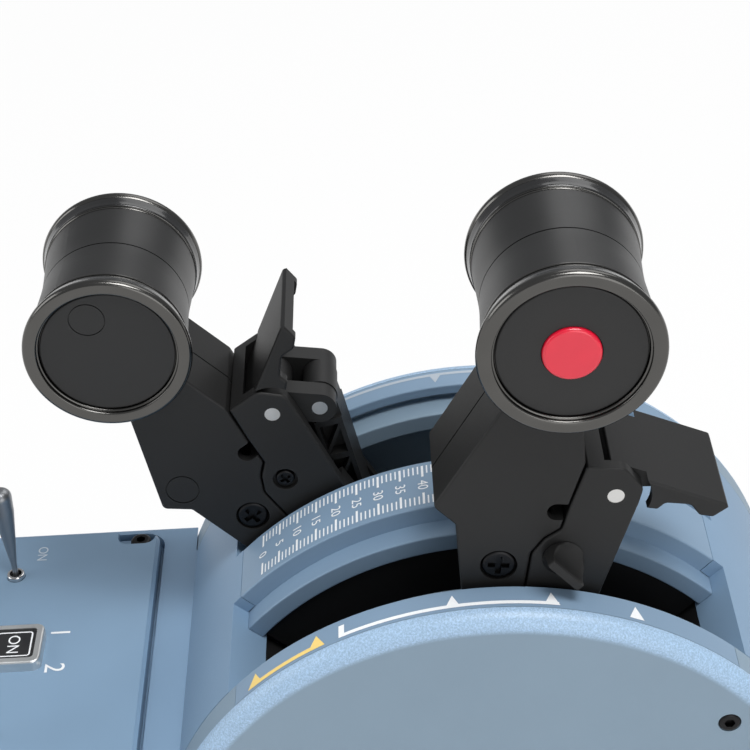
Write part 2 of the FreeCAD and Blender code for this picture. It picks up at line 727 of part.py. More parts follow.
arm_outline = [(-6.6, 136), (-23.8, 99.2, 1.5), (-18.5, 94.6, 1.2), (-15.8, 77.5), (-11.4, shell_low),
               (-2.6, shell_low),
               (-1.5, 87.7, 3.0), (1.0, 92.0, 2.5), (4.2, 94.8, 1.5), (5.4, 102.0, 1.5), (7.5, 112.4, 1.5),
               (3.4, 136)]
arm_cavity = [(-4.4, 134), (-20.8, 99.6), (-16.0, 94.4), (-13.4, 77.5), (-9.2, shell_low - 1),
              (-4.8, shell_low - 1),
              (-4.0, 88.4), (-1.0, 94.0), (2.2, 96.6), (3.1, 102.4), (5.0, 111.8), (1.6, 134)]
carrier_outline = [(7.85, 111.5, 0.6), (16.2, 111.4, 3.0), (20.7, 106.6, 2.5), (20.2, 102.4), (15.4, 79.0),
                   (12.0, shell_low), (-2.25, shell_low), (-1.2, 87.6, 3.0), (1.2, 91.7, 2.5),
                   (4.5, 94.5, 1.5),
                   (5.75, 102.0, 1.5)]


def slot_relief():
    """Room that the lever leaves for the ledge on its inner side."""
    return rod(0, 0, shoulder_r, x_in - 5, x_slot)


def swapped(shape):
    """Mirror image about the lever's own middle plane."""
    return shape.mirror(V(lever_centre, 0, 0), V(1, 0, 0))


def grip_space(extra):
    h = ring_depth
    return turned([(lever_centre - grip_half, 0), (lever_centre - grip_half, grip_r + extra),
                   (lever_centre - grip_half + h, grip_body_end_r + extra),
                   (lever_centre, grip_waist_r + extra - 0.2, 90),
                   (lever_centre + grip_half - h, grip_body_end_r + extra),
                   (lever_centre + grip_half, grip_r + extra), (lever_centre + grip_half, 0)], *grip_axis)


def make_shell(outer_side):
    """One half of the lever's cover. The two halves meet on the lever's middle plane."""
    line = 0.25
    main = side_prism(arm_outline, x_in, lever_centre - line)
    main = rounded_face(main, edge_round, on_plane_x(x_in))
    inset = Part.Face(loop(arm_outline, lambda p, q: V(lever_centre, p, q))).makeOffset2D(-line)
    main = main.fuse(inset.extrude(V(-line, 0, 0)))
    main = main.cut(side_prism(arm_cavity, x_in + shell_wall, lever_centre + line))
    # hand hole beside the carrier
    y, z = hand_hole
    hole = rod(y, z, 2.15, x_in - 1, lever_centre + 1)
    hole = hole.fuse(box(x_in - 1, lever_centre + 1, y, y + 4, z - 2.15, z + 2.15))
    main = main.cut(hole)
    # clamp screw: boss inside, sunk head outside
    y, z = clamp_screw
    main = main.fuse(rod(y, z, 3.0, x_in + shell_wall - 0.5, lever_centre))
    main = main.cut(rod(y, z, 1.3, x_in + 1, lever_centre + 1))
    main = main.cut(rod(y, z, clamp_head_r + 0.3, x_in - 1, x_in + clamp_sink))
    main = main.cut(grip_space(0.1))
    # the side steps in where the lever passes the ledge
    main = main.cut(slot_relief())
    above = rod(0, 0, 120, 0, 60).cut(rod(0, 0, shoulder_r - 2, -1, 61))
    lining = side_prism([(-15.9, step_z + 0.2), (-11.4, shell_low), (-2.6, shell_low), (-2.1, step_z + 0.2)],
                        x_slot, x_slot + shell_wall)
    shelf = side_prism([(-15.9, step_z + 0.6), (-1.9, step_z + 0.6), (-1.9, step_z - 5), (-14.8, step_z - 5)],
                       x_in + 0.6, x_slot + shell_wall)
    main = main.fuse(lining)
    main = main.fuse(shelf.common(above).cut(slot_relief()))
    if outer_side:
        return swapped(main.removeSplitter())
    y, z = plug_spot
    ring = rod(y, z, plug_r, x_in - 1, x_in + 0.3).cut(rod(y, z, plug_r - 0.3, x_in - 1, x_in + 0.3))
    return main.cut(ring).removeSplitter()


def make_spine():
    """Load-bearing core of a lever: hub on the shaft, ribbed arm, and a cross tube inside the grip."""
    x0, x1 = lever_centre - spine_half, lever_centre + spine_half
    hub = rod(0, 0, hub_r, x_in + 5.4, hub_outer)
    boss = rod(0, 0, 9.0, hub_inner, x_in + 5.6)
    arm = side_prism([(-10, 4), (10, 4), (4.4, 36), (-3.6, 62, 6), (-4.6, 88), (-1.8, 95.4), (1.2, 110.5),
                      (-1.4, 128),
                      (-8.8, 128), (-19.4, 100.6, 2), (-15.2, 93.4, 3), (-10.6, 62), (-11.5, 36)], x0, x1)
    neck = side_prism([(-7.5, 122), (-0.5, 122), (4, 144), (-4, 144)], x0, x1)
    tube = rod(*grip_axis, 5.0, lever_centre - 14.5, lever_centre + 14.5)
    spine = joined([hub, boss, arm, neck, tube])
    pockets = [side_prism([(-6.5, 18), (6, 18), (3.6, 26, 1), (-8.6, 34, 1)], x1 - 4, x1 + 1),
               side_prism([(-8.6, 38, 1), (2.6, 30, 1), (1.0, 38, 1), (-8.6, 50, 1)], x1 - 4, x1 + 1),
               side_prism([(-8.2, 54, 1), (-1.6, 46, 1), (-5.2, 60, 1), (-8.4, 72, 1)], x1 - 4, x1 + 1)]
    for pocket in pockets:
        copy = pocket.copy()
        copy.translate(V(-(2 * spine_half - 3), 0, 0))
        spine = spine.cut(pocket).cut(copy)
    bore = shaft_r + running + bush_wall
    spine = spine.cut(rod(0, 0, bore, hub_inner - 1, hub_outer + 1))
    # room for the walls of the covers
    inside = Part.Face(loop(arm_cavity, lambda p, q: V(x0 - 1, p, q))).makeOffset2D(-0.15)
    walls = side_prism(arm_outline, x0 - 1, x1 + 1).cut(inside.extrude(V(x1 - x0 + 2, 0, 0)))
    spine = spine.cut(walls.common(box(0, 60, -60, 60, 0, 129)))
    spine = spine.cut(rod(clamp_screw[0], clamp_screw[1], 3.3, x0 - 1, x1 + 1))
    spine = spine.cut(rod(0, detent_roller_z, detent_pin_r, x1 - 4, x1 + 1))
    spine = spine.cut(rod(*grip_axis, 2.6, lever_centre - 16, lever_centre + 16))
    return spine


def make_hub_bush():
    outer = shaft_r + running + bush_wall
    bush = rod(0, 0, outer, hub_inner, hub_outer)
    return bush.cut(rod(0, 0, shaft_r + running, hub_inner - 1, hub_outer + 1))


def make_detent_roller():
    y, z = 0, detent_roller_z
    x0 = lever_centre + spine_half
    wheel = rod(y, z, detent_roller_r, frame_inner - 2.4, frame_inner - 0.2)
    pin = rod(y, z, detent_pin_r, x0 - 4, frame_inner - 2.3)
    return joined([wheel, pin])


def make_carrier():
    """Front channel of a lever: carries the paddle pivot, and guides the lift strut and slider."""
    body = side_prism(carrier_outline, x_in, x_out)
    for x in (x_in, x_out):
        body = rounded_face(body, edge_round, on_plane_x(x))
    inner0, inner1 = x_in + carrier_wall, x_out - carrier_wall
    cavity = side_prism([(10.2, 112), (24, 116), (24, 100), (19, 76), (15, shell_low - 2),
                         (1.6, shell_low - 2),
                         (2.2, 84.0), (9.6, 92.5, 2), (8.2, 104), (8.2, 107)], inner0, inner1)
    cavity = cavity.common(side_prism([(-20, 0), (60, 0), (60, 99), (-20, 99)], 0, 60))
    pocket = rod(pivot_pin[0], pivot_pin[1], 7.9, inner0, inner1)
    mouth = side_prism([(pivot_pin[0] - 6.4, 98), (30, 98), (30, 116), (pivot_pin[0], 116),
                        (pivot_pin[0] - 2.6, 111.6)],
                       inner0, inner1)
    body = body.cut(cavity).cut(pocket).cut(mouth)
    # both sides step in where the lever passes between the ledges, and go on as guides for the strut's foot
    step_wall = side_prism([(-2.25, shell_low), (0, shell_low), (2.0, guide_low), (12.6, guide_low),
                            (15.1, step_z),
                            (-1.6, step_z)], x_in + 0.6, x_slot + step_thick)
    slot = joined([box(0, x_slot + 5, foot_y - 2.0, foot_y + 2.0, foot_height_at(0),
                       foot_height_at(paddle_lift)),
                   rod(foot_y, foot_height_at(0), 2.0, 0, x_slot + 5),
                   rod(foot_y, foot_height_at(paddle_lift), 2.0, 0, x_slot + 5)])
    step_wall = step_wall.cut(slot_relief()).cut(slot)
    body = body.cut(slot_relief()).cut(swapped(slot_relief()))
    body = joined([body, step_wall, swapped(step_wall)])
    body = body.cut(rod(pivot_pin[0], pivot_pin[1], pin_r, x_in - 1, x_out + 1))
    y, z = latch_hole
    boss = rod(y, z, 4.2, inner0 - 0.1, inner1 + 0.1)
    web = side_prism([(0.2, 84), (2.6, 84), (9.0, 92), (5.0, 94)], inner0 - 0.1, inner1 + 0.1)
    body = body.fuse(joined([boss, web]).common(side_prism(carrier_outline, x_in + 1, x_out - 1)))
    body = body.cut(rod(y, z, latch_stem_r + 0.1, lever_centre + 2, x_out + 1))
    body = body.cut(rod(y, z, 3.05, x_in - 1, x_in + 1.3))
    body = body.cut(rod(y, z, 1.1, x_in, lever_centre - 1))
    return body.removeSplitter()


def make_paddle():
    """Finger paddle at rest: a plate with side skirts, and a fork that lifts the strut."""
    py, pz = pivot_pin
    top = [(20.9, 108.75), (39.2, 103.2, 0.8), (39.6, 102.3), (36.7, 99.6, 1.0), (33.6, 99.9, 1.5),
           (31.4, 102.6, 2.0),
           (25.9, 102.8, 1.5), (24.4, 101.0, 0.8), (20.2, 101.4)]
    blade = side_prism(top, x_in, x_out)
    for x in (x_in, x_out):
        blade = rounded_face(blade, edge_round, on_plane_x(x))
    hollow = side_prism([(21.0, 106.0), (37.6, 101.0), (37.0, 98), (21.0, 98)], x_in + 2.6, x_out - 2.6)
    blade = blade.cut(hollow)
    blade = blade.cut(rod(py, pz, 7.7, x_in - 1, x_out + 1))
    inner = lever_half - carrier_wall - clear
    root = side_prism([(12.95, 111.15, 0.5), (24, 107.8), (24, 104.9), (15.0, 104.2)],
                      lever_centre - inner, lever_centre + inner)
    root = root.common(rod(py, pz, 9.4, 0, 60))
    hub = rod(py, pz, 4.4, lever_centre - fork_outer_half, lever_centre + fork_outer_half)
    low = pz - crank
    ear = side_prism([(py - 4.4, pz), (py + 4.4, pz), (py + 4.0, low), (py - 4.0, low)], 0, fork_ear)
    ear = joined([ear, rod(py, low, 4.0, 0, fork_ear)])
    ears = []
    for x in (lever_centre - fork_outer_half, lever_centre + fork_outer_half - fork_ear):
        copy = ear.copy()
        copy.translate(V(x, 0, 0))
        ears.append(copy)
    paddle = joined([blade, root, hub] + ears)
    gap_half = fork_outer_half - fork_ear
    paddle = paddle.cut(rod(py, low, 8.6, lever_centre - gap_half, lever_centre + gap_half).cut(
        rod(py, pz, 4.4, 0, 60)))
    paddle = paddle.cut(rod(py, pz, pin_r + running, 0, 60))
    return paddle.cut(rod(py, low, pin_r + running, 0, 60))


def link_pin_at(lift):
    """(y, z) of the link pin when the paddle is lifted."""
    a = math.radians(lift - 90)
    return pivot_pin[0] + crank * math.cos(a), pivot_pin[1] + crank * math.sin(a)


def foot_height_at(lift):
    y, z = link_pin_at(lift)
    return z - math.sqrt(strut_length ** 2 - (y - foot_y) ** 2)


def make_strut():
    """Lift strut with the paddle at rest: an I-shaped link with diagonal ribs."""
    by, bz = link_pin_at(0)
    cz = foot_height_at(0)
    half = fork_outer_half - fork_ear - clear
    lean = math.degrees(math.atan2(by - foot_y, bz - cz))
    drum = rod(0, 0, 4.2, lever_centre - half, lever_centre + half)
    body = side_prism([(-3.4, -6.5), (3.6, -6.5), (3.4, -strut_length - 3.2, 2.0),
                       (-3.2, -strut_length - 3.2, 2.0)],
                      lever_centre - spine_half, lever_centre + spine_half)
    neck = side_prism([(-3.4, -7), (3.6, -7), (3.4, 0), (-3.4, 0)], lever_centre - half, lever_centre + half)
    strut = joined([drum, neck, body])
    depth = 3.6
    pocket_tops = (-8.2, -18.4, -28.6)
    for i, top in enumerate(pocket_tops):
        low = top - 8.6
        if i == len(pocket_tops) - 1:
            low = top - 4.4
        corners = [[(-2.4, top), (2.4, top), (-2.4, low + 1.2)], [(2.4, top - 1.4), (2.4, low), (-2.2, low)]]
        for shape in corners:
            for x in (lever_centre - spine_half - 1, lever_centre + spine_half - depth):
                strut = strut.cut(side_prism(shape, x, x + depth + 1))
    strut = strut.cut(rod(0, 0, pin_r, 0, 60))
    strut = strut.cut(rod(0, -strut_length, guide_pin_r, 0, 60))
    strut.rotate(V(0, 0, 0), V(-1, 0, 0), lean)
    strut.translate(V(0, by, bz))
    return strut


def make_guide_pin():
    """Guide pin at the strut's foot, with the paddle at rest."""
    return rod(foot_y, foot_height_at(0), guide_pin_r, x_slot + 0.3, x_slot_out - 0.3)


def make_latch_knob():
    """Thumb latch on the outer face: a wedge-shaped wing on a round stem."""
    y, z = latch_hole
    face = x_out + 0.25
    stem = rod(y, z, latch_stem_r, lever_centre + 3, face + 0.2)
    base = rod(y, z, 4.6, face, face + 1.6)
    wing = side_prism([(-4.4, 2.6, 1.4), (4.4, 2.6, 1.4), (4.4, -1.4), (0.9, -6.4, 0.6), (-0.9, -6.4, 0.6),
                       (-4.4, -1.4)],
                      face + 1.4, face + 6.6)
    slope = side_prism([(-8, -9), (8, -9), (8, 9), (-8, 9)], 0, 9)
    slope.rotate(V(0, 0, 0), V(0, 0, 1), -24)
    slope.translate(V(face + 6.2, -1.0, 0))
    wing = wing.cut(slope)
    wing.rotate(V(0, 0, 0), V(1, 0, 0), 38)
    wing.translate(V(0, y, z))
    return joined([stem, base, wing])


def make_lever_screws():
    """Clamp screws in both faces, and the small screw in the inner face."""
    screws = []
    y, z = clamp_screw
    for outer in (True, False):
        seat = (x_out - clamp_sink) if outer else (x_in + clamp_sink)
        way = 1 if outer else -1
        head = turned([(0, 0), (0, clamp_head_r), (1.3, clamp_head_r, 0.8), (1.3, 0)], 0, 0)
        head = head.cut(cross_recess(clamp_head_r, 1.0).translated(V(1.3, 0, 0)))
        shank = rod(0, 0, 1.25, -8.0, 0.1)
        screw = joined([head, shank])
        if way < 0:
            screw = mirrored(screw)
        screw.translate(V(seat, y, z))
        screws.append(screw)
    y, z = latch_hole
    head = turned([(0, 0), (0, small_head_r), (1.1, small_head_r, 0.6), (1.1, 0)], 0, 0)
    head = head.cut(cross_recess(small_head_r, 0.8).translated(V(1.1, 0, 0)))
    screw = mirrored(joined([head, rod(0, 0, 1.05, -6.0, 0.1)]))
    screw.translate(V(x_in + 1.3, y, z))
    screws.append(screw)
    return screws


def make_grip_half(outer_side):
    """Half of the grip's barrel, with a concave outside."""
    h = grip_half - ring_depth
    c = lever_centre
    outer = turned([(c - h, 0), (c - h, grip_body_end_r), (c, grip_waist_r - 0.2, 90),
                    (c + h, grip_body_end_r),
                    (c + h, 0)], *grip_axis)
    wall_in = grip_waist_r - 2.6
    outer = outer.cut(rod(*grip_axis, wall_in, c - h + 2.4, c + h - 2.4))
    outer = outer.cut(rod(*grip_axis, 5.1, c - h - 1, c + h + 1))
    flange = rod(*grip_axis, 8.0, c - 9, c + 9).cut(rod(*grip_axis, 5.1, c - 20, c + 20))
    flange = flange.cut(rod(*grip_axis, 30, c - 6.4, c + 6.4))
    hole = side_prism([(-9.6, 118), (2.6, 118), (5.4, lever_length + 1), (-5.4, lever_length + 1)],
                      c - spine_half - 0.2, c + spine_half + 0.2)
    outer = outer.cut(hole)
    step = 0.2
    if outer_side:
        half = outer.common(rod(*grip_axis, 40, c, c + 40))
        groove = rod(*grip_axis, 40, c - 1, c + step).cut(rod(*grip_axis, grip_waist_r - 0.4, c - 2, c + 2))
    else:
        half = outer.common(rod(*grip_axis, 40, c - 40, c))
        groove = rod(*grip_axis, 40, c - step, c + 1).cut(rod(*grip_axis, grip_waist_r - 0.4, c - 2, c + 2))
    return half.cut(groove)


def make_grip_ring(outer_side):
    c = lever_centre
    end = c + grip_half
    back = end - ring_depth
    section = [(back, 14.6), (back, grip_body_end_r + 0.1, 0.3), (back + 1.0, grip_body_end_r + 0.2),
               (end - 1.9, grip_r, 1.6), (end, grip_r, 1.7), (end, ring_bore_r + 0.5, 0.4),
               (end - 0.9, ring_bore_r),
               (end - 1.6, ring_bore_r), (end - 1.6, ring_bore_r - 0.1), (back + 1.5, ring_bore_r - 0.1),
               (back + 1.5, 14.6)]
    ring = turned(section, *grip_axis)
    if not outer_side:
        ring = ring.mirror(V(c, 0, 0), V(1, 0, 0))
    return ring


def make_grip_cap(outer_side):
    c = lever_centre
    face = c + grip_half - cap_recess
    back = c + grip_half - ring_depth + 1.6
    r = ring_bore_r - 0.25
    cap = turned([(back, 0), (back, r), (face, r, 0.4), (face, 0)], *grip_axis)
    y, z = grip_axis
    if outer_side:
        cap = cap.cut(rod(y, z, button_r + 0.15, back - 1, face + 1))
        return cap
    cap = cap.mirror(V(c, 0, 0), V(1, 0, 0))
    mark = (y + 2.3, z + 9.4)
    face = c - grip_half + cap_recess
    ring = rod(*mark, 4.2, face - 1, face + 0.3).cut(rod(*mark, 3.95, face - 1, face + 0.3))
    return cap.cut(ring)


def make_button():
    y, z = grip_axis
    face = lever_centre + grip_half - cap_recess
    back = lever_centre + grip_half - ring_depth + 0.6 + button_travel
    return turned([(back, 0), (back, button_r), (face + button_proud, button_r, 0.8),
                   (face + button_proud, 0)], y, z)


def make_pivot_pin():
    return rod(pivot_pin[0], pivot_pin[1], pin_r, x_in + 0.1, x_out - 0.1)


def make_link_pin():
    y, z = link_pin_at(0)
    return rod(y, z, pin_r, lever_centre - fork_outer_half + 0.1, lever_centre + fork_outer_half - 0.1)


def make_magnet():
    return washer(hub_outer, hub_outer + magnet_thick, 12.0, 7.0)


# ---- placing the levers --------------------------------------------------------------------------------
def turn(shape, angle, centre=(0.0, 0.0)):
    """Tips a shape forward about an axis along X."""
    copy = shape.copy()
    copy.rotate(V(0, centre[0], centre[1]), V(-1, 0, 0), angle)
    return copy


def place_lever(side, angle, lift):
    """Saves one lever's nodes. Lift is how far its paddle is raised at rest."""
    name = "right" if side > 0 else "left"

    def put(node, solids):
        placed = []
        for solid in solids:
            copy = solid if side > 0 else mirrored(solid)
            placed.append(turn(copy, angle))
        save(node + "_" + name, placed)

    put("lever_spine", [make_spine()])
    put("lever_covers", [make_shell(True), make_shell(False)])
    put("paddle_carrier", [make_carrier()])
    put("hub_bush", [make_hub_bush()])
    put("hub_magnet", [make_magnet()])
    put("detent_roller", [make_detent_roller()])
    put("lever_screws", make_lever_screws())
    put("paddle_pivot_pin", [make_pivot_pin()])
    put("grip_barrel", [make_grip_half(True), make_grip_half(False)])
    put("grip_rings", [make_grip_ring(True), make_grip_ring(False)])
    put("grip_caps", [make_grip_cap(True), make_grip_cap(False)])
    put("grip_button", [make_button()])
    put("latch_knob", [make_latch_knob()])
    # the paddle turns about its pivot when lifted
    # the strut follows the link pin, and leans so that its foot stays in line
    put("reverse_paddle", [turn(make_paddle(), -lift, pivot_pin)])
    link_pin = turn(make_link_pin(), -lift, pivot_pin)
    lean0 = math.degrees(math.asin((link_pin_at(0)[0] - foot_y) / strut_length))
    lean1 = math.degrees(math.asin((link_pin_at(lift)[0] - foot_y) / strut_length))
    strut = turn(make_strut(), lean1 - lean0, link_pin_at(0))
    shift = [b - a for a, b in zip(link_pin_at(0), link_pin_at(lift))]
    strut.translate(V(0, *shift))
    put("lift_strut", [strut])
    guide_pin = make_guide_pin()
    guide_pin.translate(V(0, 0, foot_height_at(lift) - foot_height_at(0)))
    put("strut_pins", [link_pin, guide_pin])


# ---- build ---------------------------------------------------------------------------------------------
save("main_housing", [make_housing()])
cheek = make_cheek()
save("cheek_right", [cheek])
save("cheek_left", [mirrored(cheek)])
strip = make_rim_strip()
save("rim_strips", [strip, mirrored(strip)])
save("housing_screws", make_cheek_screws(1) + make_cheek_screws(-1) + make_base_screws())
save("scale_rib", [make_scale_rib()])
guard = make_guard()
save("slot_guards", guard + [mirrored(piece) for piece in guard])
save("centre_pedestal", [make_pedestal()])
frame = make_frame()
save("bearing_plates", [frame, mirrored(frame)])
sector = make_detent_sector()
save("detent_sectors", [sector, mirrored(sector)])
nut = make_nut()
save("lever_shaft", [make_shaft(), nut, mirrored(nut)])
friction = washer(hub_inner - 2.1, hub_inner - 0.1, 14.0, shaft_r + running)
spring = washer(pedestal_half + 0.1, hub_inner - 2.1, 9.0, shaft_r + running)
save("friction_washers", [friction, mirrored(friction), spring, mirrored(spring)])
hall = make_hall_board()
save("sensor_boards", [hall, mirrored(hall)])
save("bottom_plate", [make_bottom_plate()])
save("rubber_feet", make_feet())
save("control_panel", [pitched(make_panel())])
save("panel_screws", [pitched(screw) for screw in make_panel_screws()])
save("square_button_bezel", [pitched(make_square_bezel())])
save("square_button", [pitched(make_square_button())])
save("toggle_switches", [pitched(make(side)) for make in (make_toggle_body, make_toggle_nut)
                         for side in (1, -1)])
save("toggle_bat_right", [pitched(make_toggle_bat(1))])
save("toggle_bat_left", [pitched(make_toggle_bat(-1))])
save("selector_switch", [pitched(make_selector_switch())])
save("selector_knob", [pitched(make_selector_knob())])
save("main_board", [make_main_board()])
save("usb_socket", [make_usb_socket()])
place_lever(1, right_angle, 0.0)
place_lever(-1, left_angle, paddle_lift)
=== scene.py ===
"""Throttle quadrant: finishes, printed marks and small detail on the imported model. Metres, model's frame."""
import math

import bpy
from mathutils import Matrix, Vector


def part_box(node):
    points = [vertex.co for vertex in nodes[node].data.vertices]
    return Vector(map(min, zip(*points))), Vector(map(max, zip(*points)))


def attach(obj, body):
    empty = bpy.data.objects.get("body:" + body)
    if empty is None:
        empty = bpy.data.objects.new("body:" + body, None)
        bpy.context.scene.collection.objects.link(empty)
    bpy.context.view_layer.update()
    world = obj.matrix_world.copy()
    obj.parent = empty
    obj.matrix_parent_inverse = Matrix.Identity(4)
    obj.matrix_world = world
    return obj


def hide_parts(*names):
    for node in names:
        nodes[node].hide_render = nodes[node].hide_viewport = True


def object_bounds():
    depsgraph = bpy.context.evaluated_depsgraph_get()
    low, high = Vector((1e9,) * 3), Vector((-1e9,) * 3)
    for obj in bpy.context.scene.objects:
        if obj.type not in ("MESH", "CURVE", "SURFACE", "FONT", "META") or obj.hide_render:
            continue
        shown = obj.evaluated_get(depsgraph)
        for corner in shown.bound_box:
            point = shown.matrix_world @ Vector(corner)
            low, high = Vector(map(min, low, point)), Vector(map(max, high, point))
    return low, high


MM = 0.001
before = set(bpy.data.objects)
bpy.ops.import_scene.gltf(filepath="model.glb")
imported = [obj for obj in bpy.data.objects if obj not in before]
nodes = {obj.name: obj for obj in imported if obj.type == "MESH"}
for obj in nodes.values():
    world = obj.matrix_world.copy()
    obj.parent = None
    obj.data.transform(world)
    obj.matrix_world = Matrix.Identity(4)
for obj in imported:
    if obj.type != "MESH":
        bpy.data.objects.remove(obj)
cad_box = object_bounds()
bpy.ops.object.select_all(action="DESELECT")

# ---- sizes: read from the model, or measured from the lever shaft ----------------------------------------
shaft_low, shaft_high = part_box("lever_shaft")
shaft = (shaft_low + shaft_high) / 2          # middle of the lever shaft
drum_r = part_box("scale_rib")[1].z - shaft.z
deck_pitch = math.radians(3.1)                # the panel rises towards the drum
deck_middle, deck_height = -121 * MM, 24.8 * MM
deck_point = Vector((0, shaft.y + deck_middle, shaft.z + deck_height))
panel_raise = 2.2 * MM                        # top of the panel plate above the deck
button_raise = panel_raise + 2.6 * MM         # face of the square button
lever_angle = {1: 3.8, -1: -38.3}             # at rest, degrees forward of upright, right and left
lever_centre = 24.2 * MM
lever_face = 37.6 * MM                        # outer face of a lever
grip_height = 144.2 * MM                      # lever shaft to grip
grip_half = 20.9 * MM
print_lift = 0.05 * MM                        # printed marks stand this far off their surface

# scale: angles in degrees forward of upright
scale_top, number_step = 45, 5                # last unit, and units from number to number
degree_per_unit = 0.789
zero_angle = -44.18                           # of the 0 mark
scale_edge = 7.3 * MM                         # outer end of the ticks
long_tick, short_tick = (4.2 * MM, 0.55 * MM), (3.0 * MM, 0.35 * MM)     # length and width
scale_letter = 2.5 * MM

# range marks on a cheek's band: places sideways, start and end angles, and half angles of the triangles
rim_band = 46.3 * MM                          # where the band meets the rounded rim
band_outer = 45.2 * MM
point_tip = 41.2 * MM                         # slot end of the triangles
white_inner, white_line = 44.2 * MM, (-27.6, 7.4)
hook_inner, white_hook = 41.4 * MM, (-28.0, -27.0)
white_points, white_half = (-9.2, 6.3, 20.1), 1.25
yellow_inner, yellow_line = 44.0 * MM, (-45.9, -30.9)
yellow_points, yellow_half = (-44.7, -32.1), 1.6

# legends on the panel: middles from the lever shaft, and heights of the letters
switch_x, on_y, off_y, switch_letter = 38.4 * MM, -115.9 * MM, -130.6 * MM, 2.6 * MM
number_x, number_y, number_letter = 6.5 * MM, -107.6 * MM, 5.0 * MM
button_y, button_letter = -118.2 * MM, 3.0 * MM
frame_half, frame_corner, frame_line = 4.5 * MM, 0.9 * MM, 0.38 * MM     # outline on the square button


def side_name(side):
    return "right" if side > 0 else "left"


# ---- shader maths ----------------------------------------------------------------------------------------
class Value:
    """A shader socket that adds Math nodes as Python operators are used on it."""

    def __init__(self, tree, socket):
        self.tree = tree
        self.socket = socket

    def math(self, operation, *others):
        node = self.tree.nodes.new("ShaderNodeMath")
        node.operation = operation
        for slot, item in zip(node.inputs, (self, *others)):
            if isinstance(item, Value):
                self.tree.links.new(item.socket, slot)
            else:
                slot.default_value = item
        return Value(self.tree, node.outputs[0])

    def __add__(self, other):
        return self.math("ADD", other)

    __radd__ = __add__

    def __mul__(self, other):
        return self.math("MULTIPLY", other)

    __rmul__ = __mul__

    def __sub__(self, other):
        return self.math("SUBTRACT", other)

    def __rsub__(self, other):
        return (self * -1.0).math("ADD", other)

    def __gt__(self, other):
        return self.math("GREATER_THAN", other)


class Finish:
    """One material: a Principled shader, and the nodes that feed it."""

    def __init__(self, name, color, rough, metal=0.0, specular=0.5):
        self.material = bpy.data.materials.new(name)
        self.material.use_nodes = True
        self.tree = self.material.node_tree
        self.shader = next(n for n in self.tree.nodes if n.type == "BSDF_PRINCIPLED")
        self.shader.inputs["Base Color"].default_value = (*color, 1)
        self.shader.inputs["Roughness"].default_value = rough
        self.shader.inputs["Metallic"].default_value = metal
        self.shader.inputs["Specular IOR Level"].default_value = specular

    def node(self, kind, settings=None, **values):
        node = self.tree.nodes.new("ShaderNode" + kind)
        for key, item in (settings or {}).items():
            setattr(node, key, item)
        for key, item in values.items():
            slot = node.inputs[key.replace("_", " ")]
            if isinstance(item, Value):
                self.link(item, slot)
            else:
                slot.default_value = item
        return node

    def link(self, item, slot):
        self.tree.links.new(item.socket, slot)

    def value(self, node, output=0):
        return Value(self.tree, node.outputs[output])

    def place(self):
        return self.value(self.node("TexCoord"), "Object")

    def noise(self, size, detail=3.0, roughness=0.55):
        """Noise between 0 and 1 whose features are about that size."""
        return self.value(self.node("TexNoise", Vector=self.place(), Scale=1.0 / size,
                                    Detail=detail, Roughness=roughness))

    def feed(self, socket, item):
        self.link(item, self.shader.inputs[socket])

    def blend_color(self, factor, first, second):
        """Mixes two colours, each a plain one or a Value."""
        node = self.node("Mix", {"data_type": "RGBA"})
        self.link(factor, node.inputs["Factor"])
        for slot, item in ((node.inputs[6], first), (node.inputs[7], second)):
            if isinstance(item, Value):
                self.link(item, slot)
            else:
                slot.default_value = (*item, 1)
        return self.value(node, 2)

    def bump(self, height, depth):
        self.feed("Normal", self.value(self.node("Bump", Height=height, Distance=depth, Strength=1.0)))


def ink(r, g, b):
    """sRGB 0-255 to linear."""
    out = []
    for c in (r, g, b):
        c = c / 255
        out.append(c / 12.92 if c <= 0.04045 else ((c + 0.055) / 1.055) ** 2.4)
    return tuple(out)


def scaled(color, factor):
    return tuple(min(1.0, c * factor) for c in color)


# ---- finishes --------------------------------------------------------------------------------------------
drift_size = 22 * MM                          # of the slow colour change on mouldings
gloss_spread = 0.14                           # change of roughness over a moulding's grain
wide_spread = 0.06                            # change of roughness over a metal's wide streaks


def moulding(name, color, rough, grain=0.35 * MM, depth=0.012 * MM, cloud=0.05, specular=0.5):
    """Textured moulded plastic: fine grain, slow colour drift, a little change of gloss."""
    f = Finish(name, color, rough, specular=specular)
    drift = f.noise(drift_size, detail=2.0)
    f.feed("Base Color", f.blend_color(drift, scaled(color, 1 - cloud), scaled(color, 1 + cloud)))
    fine = f.noise(grain, detail=2.0)
    f.feed("Roughness", fine * gloss_spread + (rough - gloss_spread / 2))
    f.bump(fine, depth)
    return f.material


